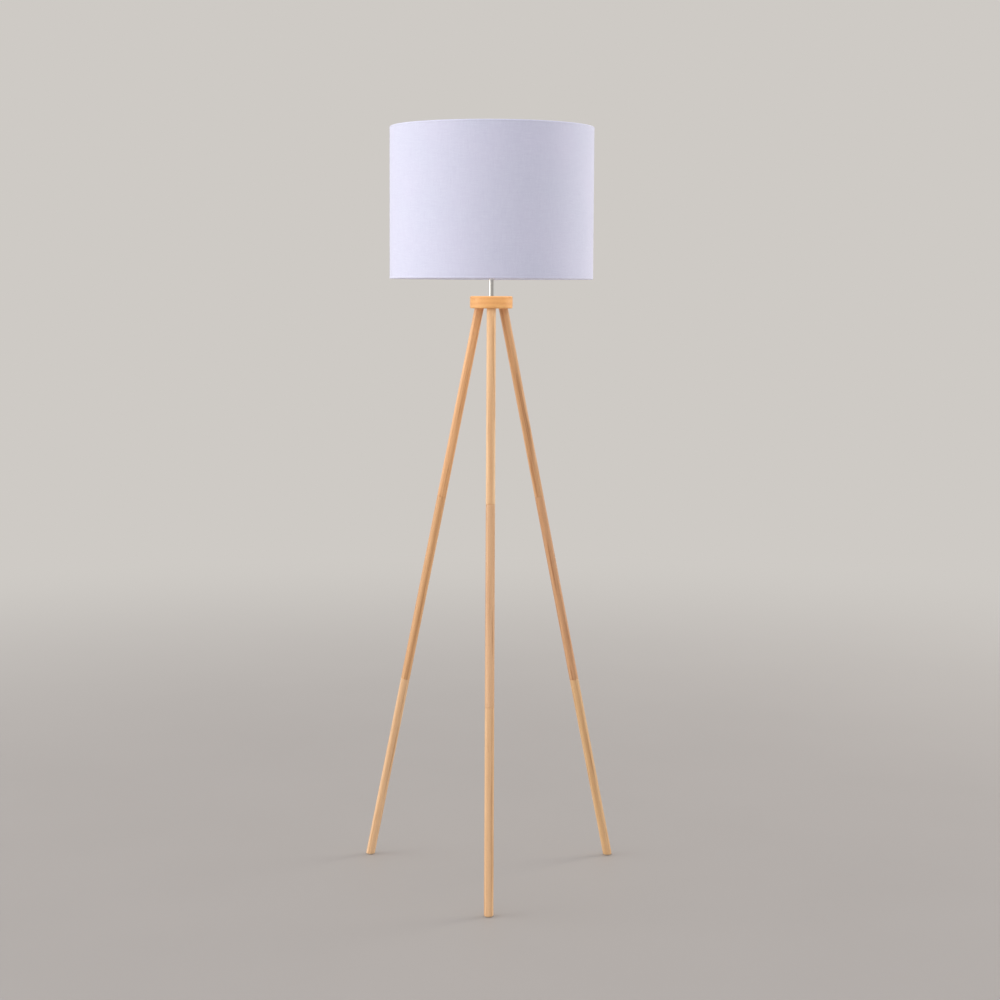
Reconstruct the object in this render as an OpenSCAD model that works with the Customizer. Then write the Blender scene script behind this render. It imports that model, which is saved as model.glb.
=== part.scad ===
// Tripod floor lamp: three round wooden legs in screwed sections, a round wooden hub,
// a short plated stem, a screw lampholder, a screw-in bulb and a drum shade.
// Millimetres, +Z up. The origin is on the floor below the stem's axis, and one leg
// stands toward -Y.

/* [Stand] */
// Height of the hub's underside above the floor
hub_z = 1140; // [950:5:1250]
// Radius of the circle on which the leg axes meet the floor
foot_circle_r = 287; // [240:0.5:320]
// Radius of the circle on which the leg axes cross the hub's underside
hub_circle_r = 27.5; // [26.5:0.5:28]
// Radius of the hub disc
hub_r = 42; // [41:0.5:48]
// Thickness of the hub disc
hub_t = 24; // [24:0.5:30]

/* [Legs] */
// Diameter of the round leg bar
leg_d = 18; // [17:0.5:20.5]
// Length of the upper and of the middle leg section
leg_section_l = 391; // [300:1:420]
// Thickness of the felt pad under each leg
foot_pad_t = 2; // [1:0.5:4]
// Diameter of the felt pad
foot_pad_d = 16; // [12:0.5:17]

/* [Stem] */
// Length of stem that shows between the hub and the shade
stem_gap = 33; // [20:1:60]
// Outside diameter of the stem tube and of its thread
stem_d = 10; // [9.5:0.1:10]
// Bore of the stem tube
stem_bore_d = 8; // [7.5:0.1:8]
// Bore of the bush that the mains lead passes through
cord_bore_d = 6.2; // [5.5:0.1:6.4]

/* [Shade] */
// Outside diameter of the drum shade
shade_d = 400; // [340:5:450]
// Height of the drum shade
shade_h = 295; // [240:5:340]
// Thickness of the fabric cover
fabric_t = 0.5; // [0.4:0.1:0.7]
// Thickness of the stiff liner behind the fabric
liner_t = 0.4; // [0.3:0.1:0.6]
// Diameter of the wire of the two shade rings
ring_wire_d = 3; // [2.5:0.1:3.2]
// Diameter of the wire of the three spider arms
arm_wire_d = 3.6; // [3:0.1:3.8]
// Height of the fabric edge that is folded inside the shade
hem_h = 10; // [8:0.5:14]

/* [Bulb] */
// Largest diameter of the bulb
bulb_d = 60; // [55:1:60]
// Length of the bulb from tip contact to crown
bulb_l = 108; // [105:1:115]

/* [Hidden] */
$fn = 96;

// Directions of the legs and of the spider arms, in degrees from +X
FRONT = -90;
RIGHT = 30;
LEFT = 150;
SIDES = [FRONT, RIGHT, LEFT];

// Gap between two fixed pieces that fit into each other
fit_gap = 0.05;
// Gap between pieces that move past each other
run_gap = 0.15;

// Hub
hub_top_z = hub_z + hub_t;
hub_edge_r = 3;
hub_recess_r = 11;
hub_recess_h = 8;

// Legs: s is a distance along a leg's axis, counted up from the floor
leg_r = leg_d / 2;
leg_lean = atan((foot_circle_r - hub_circle_r) / hub_z);
leg_socket_depth = 4;
leg_hub_s = hub_z / cos(leg_lean);
leg_top_s = leg_hub_s + leg_socket_depth;
upper_joint_s = leg_top_s - leg_section_l;
lower_joint_s = leg_top_s - 2 * leg_section_l;
leg_edge = 0.6;
foot_pad_circle_r = foot_circle_r - foot_pad_t * tan(leg_lean);

// Screwed leg joints: studs and threaded inserts of size M8
stud_r = 4;
stud_pitch = 1.25;
stud_thread_depth = 0.7;
stud_in_wood = 24;
stud_in_insert = 14;
insert_r = 6;
insert_l = 16;
insert_groove = 0.6;
hub_insert_l = 13;
hub_stud_l = 12;

// Stem
stem_r = stem_d / 2;
stem_bore_r = stem_bore_d / 2;
stem_pitch = 1;
stem_thread_depth = 0.5;
stem_bottom_z = hub_z + 1.5;
insert_nut_r = 7;
insert_nut_l = 12;
insert_nut_flange_r = 10;
insert_nut_flange_t = 1.5;
washer_r = 9.5;
washer_t = 0.8;
lock_nut_flats = 14;
lock_nut_t = 3;
bush_flange_r = 5.6;
bush_flange_t = 1.5;
bush_l = 9;

// Lampholder: h is a height above the lampholder's base
shade_bottom_z = hub_top_z + stem_gap;
holder_z = shade_bottom_z + 1;
neck_r = 8.5;
neck_h = 9;
holder_cap_r = 19;
holder_cap_wall = 2;
holder_cap_h = 25;
holder_dome_h = 18;
stem_top_h = 10;
core_r = 15;
core_h0 = 19;
core_h1 = 27.5;
skirt_spigot_h = 20;
skirt_flange_r = 22.5;
skirt_flange_t = 3;
skirt_rim_h = 57;
barrel_crest_r = 19.8;
barrel_root_r = 18.7;
barrel_pitch = 2.5;
screw_pitch = 3.63;
socket_crest_r = 13.3;
socket_root_r = 14;
holder_top_flange_h = holder_cap_h + skirt_flange_t;
contact_t = 0.5;

// Shade
shade_r = shade_d / 2;
shade_top_z = shade_bottom_z + shade_h;
fold_r = fabric_t + (liner_t + ring_wire_d + 0.2) / 2;
hem_back_r = shade_r - fabric_t - liner_t - 0.2;
ring_wire_r = ring_wire_d / 2;
ring_centre_r = shade_r - fabric_t - liner_t - 0.1 - ring_wire_r;
arm_wire_r = arm_wire_d / 2;
arm_bend_r = 10;
arm_leg_r = shade_r - fabric_t - liner_t - 0.4 - arm_wire_r;
arm_start_r = 23.4;
centre_ring_t = 1.5;
centre_ring_z = holder_z + holder_top_flange_h + run_gap / 2;
centre_ring_inner_r = barrel_crest_r + 0.6;
centre_ring_outer_r = 28;
arm_z = centre_ring_z - arm_wire_r - 0.02;
notch_w = arm_wire_d + 2;

// Shade retaining ring
retainer_z = centre_ring_z + centre_ring_t + run_gap / 2;
retainer_h = 11;
retainer_flange_r = 27;
retainer_flange_t = 2.5;
retainer_body_r = 24;
retainer_bore_r = barrel_crest_r + 0.1;
retainer_ribs = 24;

// Bulb: b is a height above the bulb's tip
bulb_z = holder_z + 30.5;
bulb_r = bulb_d / 2;
tip_r = 4.6;
tip_h = 1.4;
insulator_top_b = 5.5;
cap_crest_r = 13.1;
cap_root_r = 12.3;
cap_bore_r = 11.6;
cap_bottom_b = 5.5;
cap_top_b = 27;
housing_top_b = 64;
housing_top_r = bulb_r - 1.5;
housing_wall = 1.4;
globe_wall = 1.2;
globe_centre_b = bulb_l - bulb_r;
plate_t = 1.6;
led_count = 8;
led_circle_r = 17;
led_w = 3;
led_t = 0.7;

// Colours
WOOD = [0.84, 0.66, 0.44];
HUB_WOOD = [0.90, 0.64, 0.38];
PLATED = [0.80, 0.80, 0.82];
STEEL = [0.62, 0.63, 0.65];
BRASS = [0.80, 0.65, 0.32];
WHITE_PLASTIC = [0.93, 0.93, 0.92];
BLACK_PLASTIC = [0.10, 0.10, 0.11];
FABRIC = [0.86, 0.86, 0.93];
LINER = [0.97, 0.96, 0.94];
FELT = [0.72, 0.64, 0.54];

// A saw-tooth outline that stands for a screw thread: crest radius r, from z0 to z1
function thread_outline(r, depth, pitch, z0, z1) =
    let (turns = floor((z1 - z0) / pitch))
    concat(
        [[r - depth, z0]],
        [for (i = [0 : turns - 1], part = [0.5, 1])
            [r - (part == 1 ? depth : 0), z0 + (i + part) * pitch]],
        [[r - depth, z1]]
    );

// A round-thread outline that swings smoothly between two radii, from z0 to z1
function round_thread_outline(r_a, r_b, pitch, z0, z1, steps = 8) =
    let (count = floor((z1 - z0) / pitch) * steps)
    [for (i = [0 : count])
        [(r_a + r_b) / 2 + (r_a - r_b) / 2 * cos(i * 360 / steps), z0 + i * pitch / steps]];

// Puts children in the frame of one leg: its floor point is the origin, +Z up the leg
module leg_frame(side) {
    rotate([0, 0, side])
        translate([foot_circle_r, 0, 0])
            rotate([0, -leg_lean, 0])
                children();
}

// A round bar with chamfered ends, standing on the origin
module chamfered_bar(r, length, edge) {
    rotate_extrude()
        polygon([
            [0, 0], [r - edge, 0], [r, edge],
            [r, length - edge], [r - edge, length], [0, length]
        ]);
}

// A closed outline against the axis with rounded outer corners, for turning
module rounded_disc_outline(r, height, edge) {
    square([r - edge, height]);
    translate([0, edge])
        square([r, height - 2 * edge]);
    for (y = [edge, height - edge])
        translate([r - edge, y])
            circle(r = edge);
}

// A threaded stud between two heights on the Z axis
module stud(z0, z1) {
    rotate_extrude()
        polygon(concat(
            [[0, z0]],
            thread_outline(stud_r, stud_thread_depth, stud_pitch, z0, z1),
            [[0, z1]]
        ));
}

// A grooved sleeve with a threaded bore, standing on the origin
module threaded_insert(length) {
    difference() {
        rotate_extrude()
            polygon(concat(
                [[0, 0]],
                thread_outline(insert_r, insert_groove, 2, 0, length),
                [[0, length]]
            ));
        translate([0, 0, -1])
            cylinder(r = stud_r + fit_gap, h = length + 2);
    }
}

// ---- Hub ----

module hub_disc() {
    color(HUB_WOOD)
        difference() {
            translate([0, 0, hub_z])
                rotate_extrude()
                    rounded_disc_outline(hub_r, hub_t, hub_edge_r);
            translate([0, 0, hub_z - 1])
                cylinder(r = hub_recess_r, h = hub_recess_h + 1);
            translate([0, 0, hub_z])
                cylinder(r = insert_nut_r + fit_gap, h = hub_recess_h + insert_nut_l + 0.5);
            translate([0, 0, hub_z])
                cylinder(r = stem_r + fit_gap, h = hub_t + 1);
            for (side = SIDES)
                leg_frame(side) {
                    translate([0, 0, leg_hub_s - 20])
                        cylinder(r = leg_r + run_gap, h = 20 + leg_socket_depth + fit_gap);
                    translate([0, 0, leg_top_s])
                        cylinder(r = insert_r + fit_gap, h = hub_insert_l + fit_gap * 2);
                }
        }
}

module hub_leg_inserts() {
    color(STEEL)
        for (side = SIDES)
            leg_frame(side)
                translate([0, 0, leg_top_s + fit_gap])
                    threaded_insert(hub_insert_l);
}

// ---- Legs ----

// Hole for a stud in the top end of a section that ends at s
module stud_hole(s) {
    translate([0, 0, s - stud_in_wood])
        cylinder(r = stud_r + fit_gap, h = stud_in_wood + 1);
}

// Hole for an insert in the bottom end of a section that starts at s, with room for the stud
module insert_hole(s) {
    translate([0, 0, s - 1])
        cylinder(r = insert_r + fit_gap, h = insert_l + 1 + fit_gap);
    translate([0, 0, s])
        cylinder(r = stud_r + fit_gap, h = insert_l + 3);
}

module leg_upper(side) {
    color(WOOD)
        leg_frame(side)
            difference() {
                translate([0, 0, upper_joint_s])
                    chamfered_bar(leg_r, leg_section_l, leg_edge);
                stud_hole(leg_top_s);
                insert_hole(upper_joint_s);
            }
}

module leg_middle(side) {
    color(WOOD)
        leg_frame(side)
            difference() {
                translate([0, 0, lower_joint_s])
                    chamfered_bar(leg_r, leg_section_l, leg_edge);
                stud_hole(upper_joint_s);
                insert_hole(lower_joint_s);
            }
}

// The lowest section is cut level, so that its end stands flat on the felt pad
module leg_lower(side) {
    color(WOOD)
        intersection() {
            leg_frame(side)
                difference() {
                    translate([0, 0, -leg_d])
                        chamfered_bar(leg_r, lower_joint_s + leg_d, leg_edge);
                    stud_hole(lower_joint_s);
                }
            translate([-hub_z, -hub_z, foot_pad_t])
                cube([2 * hub_z, 2 * hub_z, hub_z]);
        }
}

module leg_top_studs() {
    color(STEEL)
        for (side = SIDES)
            leg_frame(side)
                stud(leg_top_s - stud_in_wood + fit_gap, leg_top_s + hub_stud_l);
}

module leg_joint_studs() {
    color(STEEL)
        for (side = SIDES, s = [upper_joint_s, lower_joint_s])
            leg_frame(side)
                stud(s - stud_in_wood + fit_gap, s + stud_in_insert);
}

module leg_joint_inserts() {
    color(STEEL)
        for (side = SIDES, s = [upper_joint_s, lower_joint_s])
            leg_frame(side)
                translate([0, 0, s])
                    threaded_insert(insert_l);
}

module foot_pad(side) {
    color(FELT)
        rotate([0, 0, side])
            translate([foot_pad_circle_r, 0, 0])
                cylinder(r = foot_pad_d / 2, h = foot_pad_t);
}

// ---- Stem ----

module stem_tube() {
    thread_top_z = hub_z + hub_recess_h + insert_nut_l;
    upper_thread_z = holder_z + 0.5;
    top_z = holder_z + stem_top_h;
    color(PLATED)
        difference() {
            rotate_extrude()
                polygon(concat(
                    [[0, stem_bottom_z]],
                    thread_outline(stem_r, stem_thread_depth, stem_pitch,
                        stem_bottom_z, thread_top_z),
                    [[stem_r, thread_top_z], [stem_r, upper_thread_z]],
                    thread_outline(stem_r, stem_thread_depth, stem_pitch,
                        upper_thread_z, top_z),
                    [[0, top_z]]
                ));
            translate([0, 0, stem_bottom_z - 1])
                cylinder(r = stem_bore_r, h = top_z - stem_bottom_z + 2);
        }
}

// Flanged bush with a thread, driven into the hub from below
module stem_insert_nut() {
    flange_z = hub_z + hub_recess_h - insert_nut_flange_t;
    color(STEEL)
        difference() {
            union() {
                translate([0, 0, flange_z])
                    cylinder(r = insert_nut_flange_r, h = insert_nut_flange_t);
                translate([0, 0, flange_z])
                    cylinder(r = insert_nut_r, h = insert_nut_flange_t + insert_nut_l);
            }
            translate([0, 0, flange_z - 1])
                cylinder(r = stem_r + fit_gap, h = insert_nut_l + 4);
        }
}

module stem_washer() {
    color(STEEL)
        translate([0, 0, hub_z + hub_recess_h - insert_nut_flange_t - washer_t])
            difference() {
                cylinder(r = washer_r, h = washer_t);
                translate([0, 0, -1])
                    cylinder(r = stem_r + 0.2, h = washer_t + 2);
            }
}

module stem_lock_nut() {
    nut_z = hub_z + hub_recess_h - insert_nut_flange_t - washer_t - lock_nut_t;
    color(STEEL)
        translate([0, 0, nut_z])
            difference() {
                cylinder(r = lock_nut_flats / 2 / cos(30), h = lock_nut_t, $fn = 6);
                translate([0, 0, -1])
                    cylinder(r = stem_r + fit_gap, h = lock_nut_t + 2);
            }
}

// Plastic bush that guards the mains lead at the stem's lower end
module cord_bush() {
    color(WHITE_PLASTIC)
        difference() {
            union() {
                translate([0, 0, hub_z])
                    cylinder(r = bush_flange_r, h = bush_flange_t);
                translate([0, 0, hub_z])
                    cylinder(r = stem_bore_r - fit_gap, h = bush_l);
            }
            translate([0, 0, hub_z - 1])
                cylinder(r = cord_bore_d / 2, h = bush_l + 2);
        }
}

// ---- Lampholder ----

// Outside of the lampholder's base cap: a neck, a dome and a straight wall
module holder_cap_outline(inset) {
    dome_r = holder_cap_r - neck_r;
    square([neck_r - inset, holder_dome_h]);
    translate([0, holder_dome_h])
        square([holder_cap_r - inset, holder_cap_h - holder_dome_h + inset]);
    intersection() {
        translate([neck_r, holder_dome_h])
            circle(r = dome_r - inset);
        translate([0, neck_h - 2])
            square([holder_cap_r, holder_dome_h - neck_h + 2]);
    }
}

module lampholder_cap() {
    color(WHITE_PLASTIC)
        translate([0, 0, holder_z])
            difference() {
                rotate_extrude()
                    holder_cap_outline(0);
                intersection() {
                    rotate_extrude()
                        holder_cap_outline(holder_cap_wall);
                    translate([0, 0, stem_top_h + 1])
                        cylinder(r = holder_cap_r, h = holder_cap_h);
                }
                translate([0, 0, -1])
                    cylinder(r = stem_r + fit_gap, h = stem_top_h + 3);
                rotate([90, 0, FRONT])
                    translate([0, neck_h / 2, 0])
                        cylinder(r = 1.5 + fit_gap, h = neck_r + 1);
            }
}

// The skirt carries the barrel thread outside and the lamp thread inside
module lampholder_skirt() {
    spigot_r = holder_cap_r - holder_cap_wall - fit_gap;
    color(WHITE_PLASTIC)
        translate([0, 0, holder_z])
            difference() {
                union() {
                    translate([0, 0, skirt_spigot_h])
                        cylinder(r = spigot_r, h = skirt_rim_h - skirt_spigot_h);
                    translate([0, 0, holder_cap_h])
                        cylinder(r = skirt_flange_r, h = skirt_flange_t);
                    rotate_extrude()
                        polygon(concat(
                            [[0, holder_top_flange_h]],
                            thread_outline(barrel_crest_r, barrel_crest_r - barrel_root_r,
                                barrel_pitch, holder_top_flange_h, skirt_rim_h),
                            [[0, skirt_rim_h]]
                        ));
                }
                translate([0, 0, skirt_spigot_h - 1])
                    cylinder(r = core_r + fit_gap, h = core_h1 - skirt_spigot_h + 1);
                translate([0, 0, core_h1 - 1])
                    cylinder(r = socket_crest_r, h = skirt_rim_h);
                rotate_extrude()
                    polygon(concat(
                        [[0, core_h1 + 4]],
                        round_thread_outline(socket_crest_r, socket_root_r, screw_pitch,
                            core_h1 + 4, skirt_rim_h),
                        [[0, core_h1 + 4 + screw_pitch
                            * floor((skirt_rim_h - core_h1 - 4) / screw_pitch)]]
                    ));
            }
}

// Insulating core with two windows for the terminals
module lampholder_core() {
    color(WHITE_PLASTIC)
        translate([0, 0, holder_z])
            difference() {
                translate([0, 0, core_h0])
                    cylinder(r = core_r, h = core_h1 - core_h0);
                for (side = [-1, 1])
                    translate([side * 9 - 3.2, -4.2, core_h0 - 1])
                        cube([6.4, 8.4, 6]);
            }
}

// Sprung strip under the bulb's tip: a foot, a rising bridge and a pad
module lampholder_centre_contact() {
    color(BRASS)
        translate([0, 0, holder_z + core_h1])
            rotate([90, 0, 0])
                translate([0, 0, -2.5])
                    linear_extrude(5)
                        polygon([
                            [-7, 0], [-3.2, 0], [-1.6, 2.2], [2.6, 2.2], [3.4, 1.2],
                            [3.8, 1.5], [3, 2.2 + contact_t], [-2, 2.2 + contact_t],
                            [-3.5, contact_t], [-7, contact_t]
                        ]);
}

// Two sprung strips that meet the rim of the bulb's cap
module lampholder_side_contacts() {
    color(BRASS)
        for (turn = [90, 270])
            translate([0, 0, holder_z + core_h1])
                rotate([0, 0, turn])
                    rotate([90, 0, 0])
                        translate([0, 0, -2])
                            linear_extrude(4)
                                polygon([
                                    [8, 0], [12.5, 0], [12.5, 5], [12.2, 8.1],
                                    [11.7, 8.1], [12, 5], [12, contact_t],
                                    [8, contact_t]
                                ]);
}

// Two brass blocks in the core's windows, each with a cable hole and a screw hole
module lampholder_terminals() {
    color(BRASS)
        for (side = [-1, 1])
            translate([side * 9, 0, holder_z + core_h0])
                difference() {
                    translate([-3, -4, -1.5])
                        cube([6, 8, 6]);
                    translate([0, 0.5, -2])
                        cylinder(r = 1.2, h = 5, $fn = 32);
                    translate([0, 1, 1.5])
                        rotate([90, 0, 0])
                            cylinder(r = 1.25 + fit_gap, h = 6, $fn = 32);
                }
}

module lampholder_terminal_screws() {
    color(STEEL)
        for (side = [-1, 1])
            translate([side * 9, -1, holder_z + core_h0 + 1.5])
                rotate([90, 0, 0])
                    difference() {
                        cylinder(r = 1.25, h = 2.9, $fn = 32);
                        translate([-1.5, -0.25, 2.2])
                            cube([3, 0.5, 1]);
                    }
}

// Locks the lampholder on the stem's thread
module lampholder_grub_screw() {
    color(WHITE_PLASTIC)
        translate([0, 0, holder_z + neck_h / 2])
            rotate([90, 0, FRONT])
                difference() {
                    translate([0, 0, stem_r + fit_gap])
                        cylinder(r = 1.5, h = neck_r - stem_r + 0.8, $fn = 32);
                    translate([-2, -0.3, neck_r])
                        cube([4, 0.6, 2]);
                }
}

// ---- Shade ----

// Folded edge of the fabric in section, at the bottom of the shade
module fold_outline() {
    translate([shade_r - fold_r, fold_r])
        intersection() {
            difference() {
                circle(r = fold_r, $fn = 48);
                circle(r = fold_r - fabric_t, $fn = 48);
            }
            translate([-2 * fold_r, -2 * fold_r])
                square([4 * fold_r, 2 * fold_r]);
        }
    // The hem: straight up beside the ring, then back onto the liner
    ring_side_r = shade_r - 2 * fold_r;
    ring_side_h = fold_r + 1.3;
    lean_top_h = hem_h - 1.4;
    polygon([
        [ring_side_r, fold_r],
        [ring_side_r + fabric_t, fold_r],
        [ring_side_r + fabric_t, ring_side_h],
        [hem_back_r, lean_top_h],
        [hem_back_r, hem_h],
        [hem_back_r - fabric_t, hem_h],
        [hem_back_r - fabric_t, lean_top_h],
        [ring_side_r, ring_side_h]
    ]);
}

// One fabric sheet round the drum, its edges folded inward over the wire rings
module shade_fabric() {
    color(FABRIC)
        translate([0, 0, shade_bottom_z])
            difference() {
                rotate_extrude() {
                    translate([shade_r - fabric_t, fold_r])
                        square([fabric_t, shade_h - 2 * fold_r]);
                    fold_outline();
                    translate([0, shade_h])
                        mirror([0, 1])
                            fold_outline();
                }
                for (side = SIDES)
                    rotate([0, 0, side])
                        translate([shade_r - 3 * fold_r, -notch_w / 2, fold_r + 0.1])
                            cube([hem_back_r + liner_t / 2 + 0.1 - shade_r + 3 * fold_r, notch_w, hem_h]);
            }
}

module shade_liner() {
    liner_r = shade_r - fabric_t - fit_gap;
    color(LINER)
        translate([0, 0, shade_bottom_z + fold_r])
            rotate_extrude()
                translate([liner_r - liner_t, 0])
                    square([liner_t, shade_h - 2 * fold_r]);
}

module wire_ring(z, extra = 0) {
    translate([0, 0, z])
        rotate_extrude()
            translate([ring_centre_r, 0])
                circle(r = ring_wire_r + extra, $fn = 48);
}

module shade_bottom_ring() {
    color(STEEL)
        wire_ring(shade_bottom_z + fold_r);
}

module shade_top_ring() {
    color(STEEL)
        wire_ring(shade_top_z - fold_r);
}

// A spider arm: level from the centre ring, then bent down and welded to the bottom ring
module spider_arm(side) {
    bend_start_r = arm_leg_r - arm_bend_r;
    leg_bottom_z = shade_bottom_z + fold_r + 0.2;
    lap = 0.3;
    bend_wire_r = arm_wire_r + 0.04;
    color(STEEL)
        difference() {
            rotate([0, 0, side]) {
                translate([arm_start_r, 0, arm_z])
                    rotate([0, 90, 0])
                        cylinder(r = arm_wire_r, h = bend_start_r - arm_start_r + lap, $fn = 48);
                translate([bend_start_r, 0, arm_z - arm_bend_r])
                    rotate([90, 0, 0])
                        rotate_extrude(angle = 90)
                            translate([arm_bend_r, 0])
                                circle(r = bend_wire_r, $fn = 48);
                translate([arm_leg_r, 0, leg_bottom_z])
                    cylinder(r = arm_wire_r, h = arm_z - arm_bend_r - leg_bottom_z + lap,
                        $fn = 48);
            }
            wire_ring(shade_bottom_z + fold_r, 0.02);
        }
}

module spider_centre_ring() {
    color(STEEL)
        translate([0, 0, centre_ring_z])
            difference() {
                cylinder(r = centre_ring_outer_r, h = centre_ring_t);
                translate([0, 0, -1])
                    cylinder(r = centre_ring_inner_r, h = centre_ring_t + 2);
            }
}

// Screws down the lampholder's barrel and holds the shade's centre ring
module shade_retaining_ring() {
    color(WHITE_PLASTIC)
        translate([0, 0, retainer_z])
            difference() {
                union() {
                    cylinder(r = retainer_flange_r, h = retainer_flange_t);
                    cylinder(r = retainer_body_r, h = retainer_h);
                    for (i = [0 : retainer_ribs - 1])
                        rotate([0, 0, i * 360 / retainer_ribs])
                            translate([retainer_body_r, 0, 0])
                                cylinder(r = 0.9, h = retainer_h - 1, $fn = 16);
                }
                translate([0, 0, -1])
                    cylinder(r = retainer_bore_r, h = retainer_h + 2);
            }
}

// ---- Bulb ----

module bulb_tip_contact() {
    color(STEEL)
        translate([0, 0, bulb_z])
            rotate_extrude()
                rounded_disc_outline(tip_r, tip_h, 0.5);
}

module bulb_insulator() {
    color(BLACK_PLASTIC)
        translate([0, 0, bulb_z])
            rotate_extrude()
                polygon([
                    [0, tip_h], [tip_r + 0.6, tip_h],
                    [cap_root_r - 1, insulator_top_b - 0.8],
                    [cap_root_r - 1, insulator_top_b], [0, insulator_top_b]
                ]);
}

// Plated screw cap with the round lamp thread
module bulb_cap() {
    thread_b0 = cap_bottom_b + 1.2;
    thread_turns = floor((cap_top_b - 2 - thread_b0) / screw_pitch);
    thread_b1 = thread_b0 + thread_turns * screw_pitch;
    color(PLATED)
        translate([0, 0, bulb_z])
            difference() {
                rotate_extrude()
                    polygon(concat(
                        [[0, cap_bottom_b], [cap_root_r - 0.6, cap_bottom_b]],
                        round_thread_outline(cap_root_r, cap_crest_r, screw_pitch,
                            thread_b0, thread_b1),
                        [[cap_root_r + 0.4, cap_top_b], [0, cap_top_b]]
                    ));
                translate([0, 0, cap_bottom_b + 0.6])
                    cylinder(r = cap_bore_r, h = cap_top_b);
            }
}

// Tapered plastic housing above the cap, hollow for the driver
module housing_outline(inset) {
    polygon([
        [0, cap_top_b], [13.5 - inset, cap_top_b], [14 - inset, cap_top_b + 4],
        [16 - inset, cap_top_b + 12], [housing_top_r - 3 - inset, housing_top_b - 12],
        [housing_top_r - 0.6 - inset, housing_top_b - 4],
        [housing_top_r - inset, housing_top_b], [0, housing_top_b]
    ]);
}

module bulb_housing() {
    color(WHITE_PLASTIC)
        translate([0, 0, bulb_z])
            difference() {
                rotate_extrude()
                    housing_outline(0);
                translate([0, 0, 0.01])
                    rotate_extrude()
                        housing_outline(housing_wall);
                translate([0, 0, cap_top_b - 1])
                    cylinder(r = cap_bore_r - 0.5, h = 3);
            }
}

// Driver board standing on edge, with a capacitor and a coil
module bulb_driver() {
    board_b0 = cap_bottom_b + 3;
    board_h = 42;
    color("darkgreen")
        translate([0, 0, bulb_z]) {
            translate([-9, -0.8, board_b0])
                cube([18, 1.6, board_h]);
            translate([-3, 4, board_b0 + 22])
                cylinder(r = 4, h = 14, $fn = 32);
            translate([-3, -1, board_b0 + 24])
                cube([4, 2, 8]);
            translate([-1, -6, board_b0 + 20])
                cube([8, 6, 9]);
        }
}

module bulb_led_plate() {
    color(STEEL)
        translate([0, 0, bulb_z + housing_top_b - plate_t - 0.4])
            cylinder(r = housing_top_r - housing_wall - 0.8, h = plate_t);
}

module bulb_leds() {
    color([0.95, 0.85, 0.35])
        for (i = [0 : led_count - 1])
            rotate([0, 0, i * 360 / led_count])
                translate([led_circle_r, 0, bulb_z + housing_top_b - 0.4])
                    translate([-led_w / 2, -led_w / 2, 0])
                        cube([led_w, led_w, led_t]);
}

// Opal dome: a short band and most of a ball, hollow
module bulb_globe() {
    rim_b = housing_top_b + 0.1;
    color([1, 1, 0.98])
        translate([0, 0, bulb_z])
            difference() {
                intersection() {
                    translate([0, 0, globe_centre_b])
                        sphere(r = bulb_r);
                    translate([0, 0, rim_b])
                        cylinder(r = bulb_r + 1, h = bulb_l);
                }
                translate([0, 0, globe_centre_b])
                    sphere(r = bulb_r - globe_wall);
            }
}

hub_disc();
hub_leg_inserts();
leg_upper(FRONT);  // leg_front_upper
leg_middle(FRONT);  // leg_front_middle
leg_lower(FRONT);  // leg_front_lower
leg_upper(RIGHT);  // leg_right_upper
leg_middle(RIGHT);  // leg_right_middle
leg_lower(RIGHT);  // leg_right_lower
leg_upper(LEFT);  // leg_left_upper
leg_middle(LEFT);  // leg_left_middle
leg_lower(LEFT);  // leg_left_lower
leg_top_studs();
leg_joint_studs();
leg_joint_inserts();
foot_pad(FRONT);  // foot_pad_front
foot_pad(RIGHT);  // foot_pad_right
foot_pad(LEFT);  // foot_pad_left
stem_tube();
stem_insert_nut();
stem_washer();
stem_lock_nut();
cord_bush();
lampholder_cap();
lampholder_skirt();
lampholder_core();
lampholder_centre_contact();
lampholder_side_contacts();
lampholder_terminals();
lampholder_terminal_screws();
lampholder_grub_screw();
shade_fabric();
shade_liner();
shade_top_ring();
shade_bottom_ring();
spider_arm(FRONT);  // spider_arm_front
spider_arm(RIGHT);  // spider_arm_right
spider_arm(LEFT);  // spider_arm_left
spider_centre_ring();
shade_retaining_ring();
bulb_tip_contact();
bulb_insulator();
bulb_cap();
bulb_housing();
bulb_driver();
bulb_led_plate();
bulb_leds();
bulb_globe();
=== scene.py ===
"""Looks of the tripod floor lamp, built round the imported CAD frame. Metres, +Z up, one leg toward -Y."""

import math

import bpy
import numpy as np
from mathutils import Matrix, Vector


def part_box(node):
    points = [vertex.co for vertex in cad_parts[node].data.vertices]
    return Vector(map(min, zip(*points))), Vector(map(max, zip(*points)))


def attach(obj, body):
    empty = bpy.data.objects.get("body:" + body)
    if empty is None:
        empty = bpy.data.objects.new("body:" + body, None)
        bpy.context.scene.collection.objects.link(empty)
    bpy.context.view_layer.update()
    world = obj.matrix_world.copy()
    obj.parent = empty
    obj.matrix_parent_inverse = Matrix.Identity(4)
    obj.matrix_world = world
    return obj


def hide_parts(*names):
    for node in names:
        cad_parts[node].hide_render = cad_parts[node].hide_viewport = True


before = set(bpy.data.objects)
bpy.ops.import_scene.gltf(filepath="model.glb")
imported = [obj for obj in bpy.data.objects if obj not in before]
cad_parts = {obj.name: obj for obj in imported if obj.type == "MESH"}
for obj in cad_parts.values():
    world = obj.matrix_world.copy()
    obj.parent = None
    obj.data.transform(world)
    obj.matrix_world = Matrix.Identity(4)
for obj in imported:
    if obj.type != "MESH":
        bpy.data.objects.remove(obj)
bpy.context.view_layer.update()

MM = 0.001
TAU = 2 * math.pi

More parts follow.
